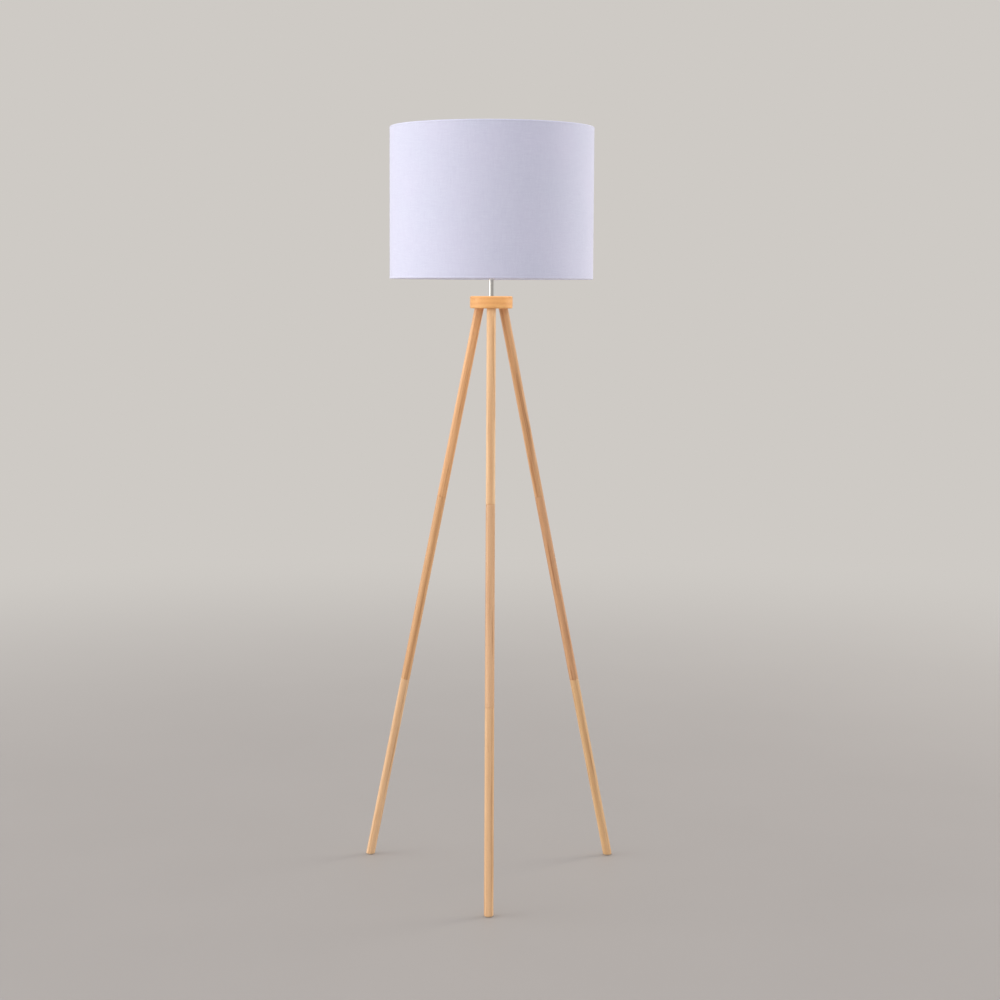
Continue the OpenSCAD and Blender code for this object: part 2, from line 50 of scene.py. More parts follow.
# ---- Places, read from the frame ----
HUB_LOW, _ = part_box("hub_disc")
FABRIC_LOW, FABRIC_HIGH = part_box("shade_fabric")
HOLDER_LOW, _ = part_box("lampholder_cap")
CENTRE_RING_LOW, CENTRE_RING_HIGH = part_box("spider_centre_ring")
RETAINER_LOW, RETAINER_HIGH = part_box("shade_retaining_ring")
BULB_LOW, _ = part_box("bulb_tip_contact")
_, BULB_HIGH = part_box("bulb_globe")
PAD_LOW, PAD_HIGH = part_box("foot_pad_front")
LEG_LOW, LEG_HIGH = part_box("leg_front_middle")

SIDES = {"front": -90, "right": 30, "left": 150}

# ---- Camera: the photograph's viewing angle ----
CAMERA_DISTANCE = 4.036
CAMERA_HEIGHT = 1.173
CAMERA_DOWN = 0.1018
CAMERA_YAW = 0.0047
CAMERA_ROLL = 0.0048
FOCAL_LENGTH_MM = 73.45

# ---- Legs ----
LEG_R = (LEG_HIGH.x - LEG_LOW.x) / 2
PAD_T = PAD_HIGH.z
PAD_R = (PAD_HIGH.x - PAD_LOW.x) / 2
HUB_CIRCLE_R = 27.5 * MM
LEG_SOCKET_DEPTH = 4 * MM
LEG_SECTION_L = 391 * MM
PAD_CIRCLE_R = -(PAD_LOW.y + PAD_HIGH.y) / 2
LEG_LEAN = math.atan((PAD_CIRCLE_R - HUB_CIRCLE_R) / (HUB_LOW.z - PAD_T))
FOOT_CIRCLE_R = PAD_CIRCLE_R + PAD_T * math.tan(LEG_LEAN)
LEG_TOP_S = HUB_LOW.z / math.cos(LEG_LEAN) + LEG_SOCKET_DEPTH
STUD_R = 4.05 * MM
STUD_HOLE = 24 * MM
INSERT_R = 6.05 * MM
INSERT_HOLE = 16.05 * MM

# ---- Shade ----
SHADE_R = FABRIC_HIGH.x
SHADE_Z = FABRIC_LOW.z
SHADE_H = FABRIC_HIGH.z - FABRIC_LOW.z
FOLD_R = 2.3 * MM
HEM_H = 10 * MM
HEM_EDGE_R = 198.25 * MM
CLOTH_T = 0.42 * MM
SEAM_LAP = 14 * MM
WIRE_R = 1.5 * MM
WIRE_CENTRE_R = 197.5 * MM
ARM_R = 1.8 * MM
ARM_LEG_R = 196.9 * MM
ARM_BEND_R = 10 * MM
NOTCH_W = 5.6 * MM
SHADE_BACK = math.radians(90)
LINER_R = 199.26 * MM
LINER_T = 0.24 * MM
LINER_LAP = 10 * MM

# ---- Threads: rise in one turn ----
PIPE_PITCH = 1 * MM
BARREL_PITCH = 2.5 * MM
LAMP_PITCH = 3.63 * MM


# ---- Mesh tools ----

def mesh_object(name, points, faces, grain=None, sharp_deg=35):
    """A mesh piece, smooth but for its sharp edges. grain is each point's place in the pattern."""
    mesh = bpy.data.meshes.new(name)
    mesh.from_pydata([tuple(p) for p in points], [], [tuple(f) for f in faces])
    mesh.validate()
    mesh.shade_smooth()
    mesh.set_sharp_from_angle(angle=math.radians(sharp_deg))
    face_outward(mesh)
    if grain is not None:
        attribute = mesh.attributes.new("grain", "FLOAT_VECTOR", "POINT")
        attribute.data.foreach_set("vector", np.asarray(grain, np.float32).ravel())
    piece = bpy.data.objects.new(name, mesh)
    bpy.context.scene.collection.objects.link(piece)
    return piece


def face_outward(mesh):
    """Flips a closed mesh that is inside out, by the sign of its volume."""
    mesh.calc_loop_triangles()
    co = np.empty(len(mesh.vertices) * 3)
    mesh.vertices.foreach_get("co", co)
    tri = np.empty(len(mesh.loop_triangles) * 3, int)
    mesh.loop_triangles.foreach_get("vertices", tri)
    a, b, c = co.reshape(-1, 3)[tri.reshape(-1, 3)].transpose(1, 0, 2)
    if (a * np.cross(b, c)).sum() < 0:
        mesh.flip_normals()


def bands(rings, closed=False):
    """Faces between neighbouring rings of point numbers. A ring of one point closes an end."""
    faces = []
    pairs = list(zip(rings, rings[1:]))
    if closed:
        pairs.append((rings[-1], rings[0]))
    for a, b in pairs:
        count = max(len(a), len(b))
        for k in range(count):
            n = (k + 1) % count
            if len(a) == 1:
                faces.append((a[0], b[n], b[k]))
            elif len(b) == 1:
                faces.append((a[k], a[n], b[0]))
            else:
                faces.append((a[k], a[n], b[n], b[k]))
    return faces


def toward(azimuth, out, across, up):
    """A place out from the axis along an azimuth in radians, and across it to the left."""
    c, s = math.cos(azimuth), math.sin(azimuth)
    return (out * c - across * s, out * s + across * c, up)


def rounded(corners, steps=4):
    """A profile from (r, z, radius) corners: each corner with a radius becomes an arc."""
    path = []
    for i, (x, y, radius) in enumerate(corners):
        here = Vector((x, y))
        if radius <= 0 or i in (0, len(corners) - 1):
            path.append((x, y))
            continue
        before = Vector(corners[i - 1][:2]) - here
        after = Vector(corners[i + 1][:2]) - here
        half = before.angle(after) / 2
        reach = min(radius / math.tan(half), before.length * 0.49, after.length * 0.49)
        radius = reach * math.tan(half)
        middle = here + (before.normalized() + after.normalized()).normalized() * (radius / math.sin(half))
        start = here + before.normalized() * reach - middle
        end = here + after.normalized() * reach - middle
        turn = start.angle_signed(end)
        for k in range(steps + 1):
            arm = start.copy()
            arm.rotate(Matrix.Rotation(-turn * k / steps, 2))
            path.append(tuple(middle + arm))
    return path


def rounded_loop(corners, steps=4):
    """A closed outline from (r, z, radius) corners, begun halfway along its last side."""
    (r0, z0, _), (r1, z1, _) = corners[-1], corners[0]
    start = ((r0 + r1) / 2, (z0 + z1) / 2, 0)
    return rounded([start, *corners, start], steps)[:-1]


def raised(base, corners):
    """(r, z, radius) corners in millimetres above a base height, in metres."""
    return [(r * MM, base + h * MM, e * MM) for r, h, e in corners]


def arc(centre, radius, start_deg, end_deg, steps):
    """Profile points along an arc, in (r, z)."""
    turns = [math.radians(start_deg + (end_deg - start_deg) * k / steps) for k in range(steps + 1)]
    return [(centre[0] + radius * math.cos(a), centre[1] + radius * math.sin(a)) for a in turns]


def thread(crest, root, pitch, z0, z1, style="vee", per_turn=10):
    """Profile rows of a right-hand screw thread that fades out at both ends."""
    rows = max(4, int(abs(z1 - z0) / pitch * per_turn))
    return [
        ("thread", crest, crest - root, pitch, z0 + (z1 - z0) * k / rows, min(z0, z1), max(z0, z1), style)
        for k in range(rows + 1)
    ]


def ramp(x):
    """A smooth step from 0 to 1."""
    x = np.clip(x, 0, 1)
    return x * x * (3 - 2 * x)


def row_radius(row, angles):
    """Radius of one profile row at each angle, and its height."""
    if row[0] != "thread":
        return np.full(len(angles), row[0]), row[1]
    _, crest, depth, pitch, z, low, high, style = row
    phase = (z / pitch - angles / TAU) % 1.0
    if style == "round":
        groove = 0.5 - 0.5 * np.cos(TAU * phase)
    else:
        groove = np.clip(np.abs(2 * phase - 1) * 1.3 - 0.15, 0, 1)
    fade = ramp((z - low) / (0.5 * pitch)) * ramp((high - z) / (0.5 * pitch))
    return crest - depth * (1 - fade * (1 - groove)), z


def turned(name, profile, segments=128, closed=False, shape=None, sharp_deg=35, place=(0, 0, 0)):
    """A turned piece about Z, from (r, z) points and thread rows. Ends at r = 0 close it, and shape
    changes the radius by angle and height."""
    angles = np.arange(segments) / segments * TAU
    points, rings = [], []
    for row in profile:
        if row[0] == 0:
            rings.append([len(points)])
            points.append((0, 0, row[1]))
            continue
        radii, z = row_radius(row, angles)
        if shape is not None:
            radii = shape(radii, angles, z)
        rings.append(list(range(len(points), len(points) + segments)))
        points += list(zip(radii * np.cos(angles), radii * np.sin(angles), np.full(segments, z)))
    points = np.array(points) + np.array(place)
    return mesh_object(name, points, bands(rings, closed), grain=points, sharp_deg=sharp_deg)


def swept(name, path, radius, sides=20, closed=False):
    """A round wire along a path of points, with domed ends."""
    path = np.asarray(path, float)
    if closed:
        tangents = np.roll(path, -1, 0) - np.roll(path, 1, 0)
    else:
        tangents = np.gradient(path, axis=0)
    tangents /= np.linalg.norm(tangents, axis=1)[:, None]
    normal = np.cross(tangents[0], (0, 0, 1.0))
    if np.linalg.norm(normal) < 0.1:
        normal = np.cross(tangents[0], (0, 1.0, 0))
    rings, points = [], []

    def ring(centre, tangent, normal, r):
        side = np.cross(tangent, normal)
        rings.append(list(range(len(points), len(points) + sides)))
        for k in range(sides):
            a = TAU * k / sides
            points.append(centre + r * (math.cos(a) * normal + math.sin(a) * side))

    frames = []
    for t in tangents:
        normal = normal - t * (normal @ t)
        normal /= np.linalg.norm(normal)
        frames.append(normal)
    dome = [] if closed else [math.radians(a) for a in (15, 40, 65)]
    flatness = 0.4

    def cap(end, outward, turns):
        for a in turns:
            centre = path[end] + outward * tangents[end] * radius * flatness * math.cos(a)
            ring(centre, tangents[end], frames[end], radius * math.sin(a))

    cap(0, -1, dome)
    for centre, tangent, normal in zip(path, tangents, frames):
        ring(centre, tangent, normal, radius)
    cap(-1, 1, reversed(dome))
    faces = bands(rings, closed)
    if not closed:
        faces += [tuple(reversed(rings[0])), tuple(rings[-1])]
    return mesh_object(name, points, faces, grain=points)


def joined(name, pieces):
    """One mesh piece out of several."""
    points, faces, grain = [], [], []
    for piece in pieces:
        base = len(points)
        mesh = piece.data
        points += [tuple(v.co) for v in mesh.vertices]
        faces += [tuple(base + i for i in p.vertices) for p in mesh.polygons]
        grain += [tuple(d.vector) for d in mesh.attributes["grain"].data]
        bpy.data.objects.remove(piece)
    return mesh_object(name, points, faces, grain=grain)


def finished(piece, body, material, node):
    """The last step of each piece: its material, its body, and hiding the CAD node that it stands for."""
    piece.data.materials.append(material)
    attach(piece, body)
    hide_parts(node)


def turned_part(node, look, outline, body, slot, material, **settings):
    """A turned piece that stands for one CAD node and is named after it."""
    finished(turned(f"{node}_{look}", outline, **settings), body, material, node)


# ---- Material tools ----

class Graph:
    """A small helper that builds a node tree."""

    def __init__(self, tree):
        self.tree = tree

    def put(self, socket, value):
        if isinstance(value, bpy.types.NodeSocket):
            self.tree.links.new(value, socket)
        else:
            socket.default_value = value

    def node(self, kind, out=0, inputs=None, **settings):
        """Adds a node, sets its inputs and gives one of its outputs."""
        made = self.tree.nodes.new("ShaderNode" + kind)
        for key, value in settings.items():
            setattr(made, key, value)
        for key, value in (inputs or {}).items():
            self.put(made.inputs[key], value)
        return made.outputs[out]

    def math(self, operation, *values):
        return self.node("Math", inputs=dict(enumerate(values)), operation=operation)

    def plus(self, a, b):
        return self.math("ADD", a, b)

    def times(self, a, b):
        return self.math("MULTIPLY", a, b)

    def axis(self, vector, name):
        return self.node("SeparateXYZ", name, inputs={"Vector": vector})

    def place(self, on_cad=False):
        """The place in metres: on a CAD node's own axes, or in a made piece's pattern."""
        if on_cad:
            return self.node("TexCoord", "Object")
        return self.node("Attribute", "Vector", attribute_name="grain")

    def mapped(self, vector, scale, rotation=(0, 0, 0), location=(0, 0, 0)):
        return self.node("Mapping", inputs={
            "Vector": vector, "Scale": scale, "Rotation": rotation, "Location": location})

    def noise(self, vector, scale=None, detail=2.0, roughness=0.5):
        """Noise with so many blobs to the metre along each axis; one number stands for all three."""
        if scale is not None:
            vector = self.mapped(vector, scale if isinstance(scale, tuple) else (scale, scale, scale))
        return self.node("TexNoise", "Fac", inputs={
            "Vector": vector, "Scale": 1.0, "Detail": detail, "Roughness": roughness})

    def between(self, value, low, high, to_low=0.0, to_high=1.0, interpolation="LINEAR"):
        """value's stretch from low to high, laid over to_low to to_high and clamped."""
        inputs = {"Value": value, "From Min": low, "From Max": high, "To Min": to_low, "To Max": to_high}
        return self.node("MapRange", inputs=inputs, interpolation_type=interpolation)

    def mix(self, factor, a, b):
        made = self.tree.nodes.new("ShaderNodeMix")
        made.data_type = "RGBA"
        self.put(made.inputs[0], factor)
        self.put(made.inputs[6], a)
        self.put(made.inputs[7], b)
        return made.outputs[2]

    def bump(self, height, strength, distance):
        return self.node("Bump", inputs={"Height": height, "Strength": strength, "Distance": distance})


class Material(Graph):
    """A material and the node tree that it is built with."""

    def __init__(self, name):
        self.material = bpy.data.materials.new(name)
        self.material.use_nodes = True
        super().__init__(self.material.node_tree)
        self.shader = next(n for n in self.tree.nodes if n.type == "BSDF_PRINCIPLED")

    def surface(self, **values):
        """Sets the shader's sockets; keys use _ for spaces."""
        for key, value in values.items():
            self.put(self.shader.inputs[key.replace("_", " ")], value)
        return self.material


def srgb(r, g, b):
    """A colour given as 0-255 screen values, as linear RGBA."""
    def linear(v):
        v /= 255
        return v / 12.92 if v <= 0.04045 else ((v + 0.055) / 1.055) ** 2.4
    return (linear(r), linear(g), linear(b), 1)


def toned(colour, factors):
    """A colour with each channel multiplied."""
    return tuple(min(1, value * factor) for value, factor in zip(colour, factors)) + (1,)


def wood(name, light, dark, seed, along="Z", on_cad=False, streaky=0.75):
    """Clear-lacquered hardwood: growth rings, long darker streaks, fine fibres, pores and flecks."""
    ring_gap, wander = 5.2 * MM, 11 * MM
    g = Material(name)
    turn = {"Z": (0, 0, 0.7 * seed), "X": (0, math.radians(90), 0)}[along]
    shift = (0.31 * seed, 0.17 * seed, 0.53 * seed)
    base = g.mapped(g.place(on_cad), (1, 1, 1), rotation=turn, location=shift)
    ring_place = g.plus(g.axis(base, "X"), g.times(g.noise(base, (28, 28, 2.2)), wander))
    rings = g.math("POWER", g.math("PINGPONG", g.times(ring_place, 1 / ring_gap), 1.0), 1.6)
    fibres = g.noise(base, (900, 900, 14), detail=5, roughness=0.65)
    stripes = g.noise(base, (120, 120, 3.0), detail=3)
    streaks = g.between(g.noise(base, (260, 260, 6)), 0.54, 0.68, 0.0, streaky)
    pores = g.between(g.noise(base, (3200, 3200, 170), detail=1), 0.66, 0.74)
    flecks = g.between(g.noise(base, (1100, 1100, 420), detail=1), 0.62, 0.72)
    tone = g.plus(g.times(rings, 0.36), g.times(fibres, 0.42))
    tone = g.plus(tone, g.times(stripes, 0.50))
    colour = g.mix(g.between(tone, 0.30, 0.95), light, dark)
    colour = g.mix(streaks, colour, toned(dark, (0.82, 0.74, 0.66)))
    colour = g.mix(g.times(pores, 0.55), colour, toned(dark, (0.52, 0.52, 0.52)))
    colour = g.mix(g.times(flecks, 0.22), colour, toned(light, (1.12, 1.12, 1.12)))
    height = g.math("SUBTRACT", g.times(fibres, 0.35), g.times(pores, 0.9))
    return g.surface(
        Base_Color=colour,
        Roughness=g.between(fibres, 0.25, 0.8, 0.40, 0.56),
        Normal=g.bump(height, 0.35, 0.00012),
        Coat_Weight=0.18,
        Coat_Roughness=0.32,
    )


def cloth():
    """Plain-woven cool white cloth: two sets of yarns that cross over and under, with slubs."""
    g = Material("shade_cloth")
    yarn = 0.62 * MM
    place = g.place()
    u, v = (g.math("DIVIDE", g.axis(place, name), yarn) for name in "XY")
    warp_no, weft_no = g.math("FLOOR", u), g.math("FLOOR", v)

    def swing(along, across_no, offset):
        """How far a yarn is up, from over to under each yarn that it crosses."""
        angle = g.times(g.plus(along, g.plus(across_no, offset)), math.pi)
        return g.math("MULTIPLY_ADD", g.math("COSINE", angle), 0.5, 0.5)

    def crown(across):
        """The round of a yarn's back."""
        return g.math("POWER", g.math("ABSOLUTE", g.math("SINE", g.times(across, math.pi))), 0.6)

    warp = g.times(crown(u), swing(v, warp_no, 0.5))
    weft = g.times(crown(v), swing(u, weft_no, 1.5))
    weave = g.math("MAXIMUM", warp, weft)

    def slub(number, along, seed):
        """Slow changes of tone along each yarn."""
        spot = g.node("CombineXYZ", inputs={
            "X": g.times(number, 7.31), "Y": g.times(along, 0.03), "Z": seed})
        return g.noise(spot)

    slubs = g.plus(slub(warp_no, v, 0.0), slub(weft_no, u, 4.0))
    clouds = g.noise(place, 9, detail=3)
    # The low parts between yarns are painted darker: painted shade in the gaps of the weave
    yarn_tops_over_shaded_gaps = g.between(weave, 0.15, 0.7)
    thread_tone = g.mix(g.between(slubs, 0.75, 1.25), srgb(226, 229, 243), srgb(214, 216, 233))
    colour = g.mix(yarn_tops_over_shaded_gaps, srgb(190, 190, 212), thread_tone)
    colour = g.mix(g.between(clouds, 0.3, 0.7, 0.0, 0.25), colour, srgb(222, 216, 236))
    height = g.plus(weave, g.times(slubs, 0.35))
    return g.surface(
        Base_Color=colour,
        Roughness=g.between(weave, 0.0, 1.0, 0.95, 0.82),
        Normal=g.bump(height, 0.28, 0.0001),
        Sheen_Weight=0.25,
        Sheen_Roughness=0.45,
        Specular_IOR_Level=0.25,
    )


def plastic(name, colour, shade, roughness, on_cad=False):
    """Moulded plastic: faint colour drift and a fine satin texture."""
    g = Material(name)
    place = g.place(on_cad)
    drift = g.noise(place, 40)
    fine = g.noise(place, 700)
    return g.surface(
        Base_Color=g.mix(drift, colour, shade),
        Roughness=g.between(fine, 0.3, 0.7, roughness - 0.05, roughness + 0.08),
        Normal=g.bump(fine, 0.12, 0.00006),
        Specular_IOR_Level=0.45,
    )


def metal(name, colour, shade, roughness, streak=400, bump=0.1, metallic=1.0, on_cad=False):
    """Metal with a fine finish: streak sets how far the marks run along each axis."""
    g = Material(name)
    place = g.place(on_cad)
    marks = g.noise(place, streak, detail=4)
    smudge = g.noise(place, 30)
    return g.surface(
        Base_Color=g.mix(smudge, colour, shade),
        Metallic=metallic,
        Roughness=g.between(marks, 0.25, 0.75, roughness * 0.75, roughness * 1.25),
        Normal=g.bump(marks, bump, 0.00004),
    )


def zinc():
    """Zinc plate: small crystals with slightly different brightness."""
    g = Material("zinc_steel")
    place = g.place(on_cad=True)
    cells = g.node("TexVoronoi", "Color", inputs={"Vector": place, "Scale": 900.0})
    patch = g.node("SeparateColor", "Red", inputs={"Color": cells})
    fine = g.noise(place, 1500)
    return g.surface(
        Base_Color=g.mix(patch, srgb(196, 197, 200), srgb(172, 176, 182)),
        Metallic=1.0,
        Roughness=g.between(patch, 0, 1, 0.26, 0.42),
        Normal=g.bump(fine, 0.08, 0.00004),
    )


def coated_wire():
    """White powder-coated wire with a light orange-peel."""
    g = Material("wire_white")
    place = g.place()
    peel = g.noise(place, 1100, detail=1)
    drift = g.noise(place, 25)
    return g.surface(
        Base_Color=g.mix(drift, srgb(238, 238, 236), srgb(224, 224, 221)),
        Roughness=g.between(peel, 0.3, 0.7, 0.3, 0.42),
        Normal=g.bump(peel, 0.1, 0.00004),
        Coat_Weight=0.2,
    )


def film():
    """Smooth white liner film with a faint calendered grain."""
    g = Material("shade_liner")
    place = g.place()
    grain = g.noise(place, (160, 1200, 1))
    drift = g.noise(place, (6, 6, 1))
    return g.surface(
        Base_Color=g.mix(drift, srgb(243, 242, 238), srgb(234, 233, 231)),
        Roughness=g.between(grain, 0.3, 0.7, 0.46, 0.58),
        Normal=g.bump(grain, 0.1, 0.00005),
    )


def felt():
    """Pressed beige felt: matted short fibres."""
    g = Material("foot_felt")
    place = g.place()
    fibres = g.noise(place, (1600, 1600, 600), detail=6, roughness=0.75)
    tufts = g.node("TexVoronoi", "Distance", inputs={"Vector": place, "Scale": 1300.0})
    height = g.plus(fibres, tufts)
    return g.surface(
        Base_Color=g.mix(g.between(fibres, 0.3, 0.7), srgb(205, 188, 164), srgb(158, 138, 112)),
        Roughness=g.between(fibres, 0.3, 0.7, 0.9, 1.0),
        Normal=g.bump(height, 0.6, 0.0003),
        Sheen_Weight=0.4,
    )


def opal():
    """Frosted opal dome: faintly mottled, satin."""
    g = Material("bulb_opal")
    place = g.place()
    mottle = g.noise(place, 300, detail=3)
    return g.surface(
        Base_Color=g.mix(mottle, srgb(250, 249, 245), srgb(243, 242, 237)),
        Roughness=g.between(mottle, 0.3, 0.7, 0.34, 0.44),
        Normal=g.bump(mottle, 0.05, 0.00005),
        Subsurface_Weight=0.15,
        Subsurface_Radius=(0.004, 0.004, 0.003),
        Subsurface_Scale=0.5,
    )


def circuit_board():
    """Green board with paler tracks."""
    g = Material("circuit_board")
    place = g.place(on_cad=True)
    cells = g.node("TexBrick", "Fac", inputs={"Vector": place, "Scale": 160.0})
    return g.surface(
        Base_Color=g.mix(cells, srgb(30, 92, 56), srgb(52, 122, 78)),
        Roughness=g.between(cells, 0, 1, 0.35, 0.5),
    )


def phosphor():
    """Yellow gel over each light chip, speckled."""
    g = Material("led_phosphor")
    grains = g.noise(g.place(on_cad=True), 4000)
    return g.surface(
        Base_Color=g.mix(grains, srgb(246, 214, 96), srgb(226, 184, 60)),
        Roughness=g.between(grains, 0.3, 0.7, 0.2, 0.35),
    )


# ---- Camera, light, floor ----

def make_camera():
    data = bpy.data.cameras.new("camera")
    data.sensor_width = 36
    data.lens = FOCAL_LENGTH_MM
    data.clip_end = 200
    camera = bpy.data.objects.new("camera", data)
    bpy.context.scene.collection.objects.link(camera)
    turn = (
        Matrix.Rotation(-CAMERA_YAW, 4, "Z")
        @ Matrix.Rotation(math.pi / 2 - CAMERA_DOWN, 4, "X")
        @ Matrix.Rotation(CAMERA_ROLL, 4, "Z")
    )
    camera.matrix_world = Matrix.Translation((0, -CAMERA_DISTANCE, CAMERA_HEIGHT)) @ turn
    bpy.context.scene.camera = camera


BACKDROP = srgb(206, 202, 197)
WORLD_LIGHT = 1.40
WORLD_DIM = 0.625
WORLD_DIM_AZIMUTH = 38
WORLD_BEHIND = 0.62
WORLD_ABOVE = 0.72
WORLD_TINT = (0.985, 0.975, 1.05, 1)
MIRRORED_LIGHT = 0.56
MIRRORED_TINT = (1, 0.985, 0.965, 1)


def make_world():
    """Even pale surroundings for the camera. Their light is dimmer front right, behind and above."""
    world = bpy.data.worlds.new("world")
    bpy.context.scene.world = world
    world.use_nodes = True
    world.node_tree.nodes.clear()
    g = Graph(world.node_tree)
    direction = g.node("TexCoord", "Generated")
    a = math.radians(WORLD_DIM_AZIMUTH)
    dim_side = g.node("VectorMath", "Value", operation="DOT_PRODUCT", inputs={
        0: direction, 1: (math.sin(a), -math.cos(a), 0)})
    strength = g.between(dim_side, 0.35, 0.95, WORLD_LIGHT, WORLD_DIM, "SMOOTHSTEP")
    behind = g.between(g.axis(direction, "Y"), -0.1, 0.9, 1.0, WORLD_BEHIND)
    above = g.between(g.axis(direction, "Z"), 0.2, 0.9, 1.0, WORLD_ABOVE)
    strength = g.times(g.times(strength, behind), above)

    def background(colour, level=1.0):
        return g.node("Background", inputs={"Color": colour, "Strength": level})

    def chosen(ray, otherwise, then):
        is_ray = g.node("LightPath", f"Is {ray} Ray")
        return g.node("MixShader", inputs={0: is_ray, 1: otherwise, 2: then})

    mirrored = background(MIRRORED_TINT, g.times(strength, MIRRORED_LIGHT))
    light = chosen("Glossy", background(WORLD_TINT, strength), mirrored)
    out = g.tree.nodes.new("ShaderNodeOutputWorld")
    g.put(out.inputs["Surface"], chosen("Camera", light, background(BACKDROP)))


def hidden_light(name, kind, place, power, colour, glossy=False, **shape):
    """A light that the camera doesn't see."""
    data = bpy.data.lights.new(name, kind)
    data.energy = power
    data.color = colour
    for key, value in shape.items():
        setattr(data, key, value)
    lamp = bpy.data.objects.new(name, data)
    bpy.context.scene.collection.objects.link(lamp)
    lamp.matrix_world = place
    lamp.visible_camera = False
    lamp.visible_glossy = glossy


def area_light(name, azimuth_deg, distance, height, aim_z, size, power, colour, glossy=False):
    """A soft rectangular light; azimuth is from -Y (toward the camera), positive to the right."""
    a = math.radians(azimuth_deg)
    spot = Vector((math.sin(a) * distance, -math.cos(a) * distance, height))
    aim = Vector((0, 0, aim_z)) - spot
    place = Matrix.Translation(spot) @ aim.to_track_quat("-Z", "Y").to_matrix().to_4x4()
    hidden_light(name, "AREA", place, power, colour, glossy,
                 shape="RECTANGLE", size=size[0], size_y=size[1])


def make_lights():
    area_light("key_left", -84, 6.2, 2.2, 1.0, (4.8, 6.6), 208, (1.0, 0.985, 0.935), glossy=True)
    area_light("rim_right", 116, 6.6, 2.2, 1.0, (2.8, 5.6), 260, (1.0, 0.965, 0.91))
    area_light("fill_low", -15, 5.5, 0.62, 1.2, (4.0, 1.2), 15, (1.0, 0.98, 0.97))
    # What the bulb would send down on the hub and the tops of the legs.
    under_shade = Matrix.Translation((0, 0, SHADE_Z + 2 * MM))
    hidden_light("spill_down", "AREA", under_shade, 0.28, (1.0, 0.96, 0.9), shape="DISK", size=0.34)
    # What the floor sends up on the shade's lower edge.
    upward = Matrix.Translation((0, 0, 50 * MM)) @ Matrix.Rotation(math.pi, 4, "X")
    hidden_light("bounce_up", "SPOT", upward, 13, (1.0, 0.97, 0.94),
                 spot_size=math.radians(26), spot_blend=0.4, shadow_soft_size=0.3)


def make_floor():
    """A wide pale floor that fades into the surroundings far from the lamp."""
    radius, rings, segments = 60.0, 24, 64
    points, circles = [(0, 0, 0)], [[0]]
    for i in range(1, rings + 1):
        r = radius * (i / rings) ** 2.2
        circles.append(list(range(len(points), len(points) + segments)))
        points += [toward(TAU * k / segments, r, 0, 0) for k in range(segments)]
    floor = mesh_object("floor", points, bands(circles[::-1]))
    g = Material("floor")
    place = g.place(on_cad=True)
    distance = g.node("VectorMath", "Value", inputs={0: place}, operation="LENGTH")
    fade = g.between(distance, 0.8, 5.0, interpolation="SMOOTHSTEP")
    mottle = g.noise(place, 2, detail=4)
    g.surface(Base_Color=g.mix(mottle, srgb(168, 163, 156), srgb(163, 158, 151)), Roughness=0.6)
    far = g.node("Emission", inputs={"Color": BACKDROP})
    mixed = g.node("MixShader", inputs={0: fade, 1: g.shader.outputs[0], 2: far})
    out = next(n for n in g.tree.nodes if n.type == "OUTPUT_MATERIAL")
    g.put(out.inputs["Surface"], mixed)
    floor.data.materials.append(g.material)


# ---- Stand ----

def leg_section(name, azimuth, profile, seed, level_cut=False):
    """One turned bar, leaning along its leg: s counts up the leg from the floor. level_cut trims its
    lower rows to the plane of the felt pad."""
    segments = 48
    points, grain, rings = [], [], []
    c, n = math.cos(LEG_LEAN), math.sin(LEG_LEAN)
    for r, s in profile:
        count = 1 if r == 0 else segments
        rings.append(list(range(len(points), len(points) + count)))
        for k in range(count):
            a = TAU * k / segments
            x, y = r * math.cos(a), r * math.sin(a)
            along = s
            if level_cut and s < 2 * LEG_R:
                cut = (PAD_T + s * c - x * n) / c
                along = cut + (s - cut) * float(ramp(s / (2 * LEG_R)))
            points.append(toward(azimuth, FOOT_CIRCLE_R + x * c - along * n, y, x * n + along * c))
            grain.append((x, y, along + seed))
    return mesh_object(name, points, bands(rings), grain=grain, sharp_deg=40)


def bar_profile(s0, s1, stud_on_top, insert_below):
    """Outline of a bar section from its top hole, over its outside, to its lower hole."""
    edge, plain, beyond_insert = 0.9 * MM, 8 * MM, 3 * MM
    side = [(LEG_R, s) for s in np.linspace(s1 - plain, s0 + plain, 24)]
    top = [(0, s1 - STUD_HOLE), (STUD_R, s1 - STUD_HOLE), (STUD_R, s1)] if stud_on_top else [(0, s1)]
    outline = top + arc((LEG_R - edge, s1 - edge), edge, 90, 0, 5) + side
    outline += arc((LEG_R - edge, s0 + edge), edge, 0, -90, 5)
    if insert_below:
        bottom = s0 + INSERT_HOLE
        outline += [(INSERT_R, s0), (INSERT_R, bottom), (STUD_R, bottom)]
        outline += [(STUD_R, bottom + beyond_insert), (0, bottom + beyond_insert)]
    else:
        outline += [(0, s0)]
    return outline


LEG_TONES_AND_PAINTED_LIGHT = {
    # section: lighter and darker wood of the bar. The steps between sections are partly the wood's own tone
    # and partly painted light: the left leg is painted lighter where more light falls on it, the right leg
    # darker where less light reaches it, and the front upper section lighter for the bulb's light from
    # above
    "front_upper": ((243, 203, 154), (216, 167, 117)),
    "front_middle": ((231, 188, 142), (202, 152, 107)),
    "front_lower": ((235, 193, 144), (208, 160, 111)),
    "right_upper": ((225, 176, 127), (193, 141, 94)),
    "right_middle": ((220, 170, 124), (189, 136, 93)),
    "right_lower": ((234, 193, 142), (206, 159, 108)),
    "left_upper": ((242, 189, 134), (211, 154, 102)),
    "left_middle": ((234, 184, 131), (203, 150, 99)),
    "left_lower": ((239, 198, 151), (215, 168, 120)),
}


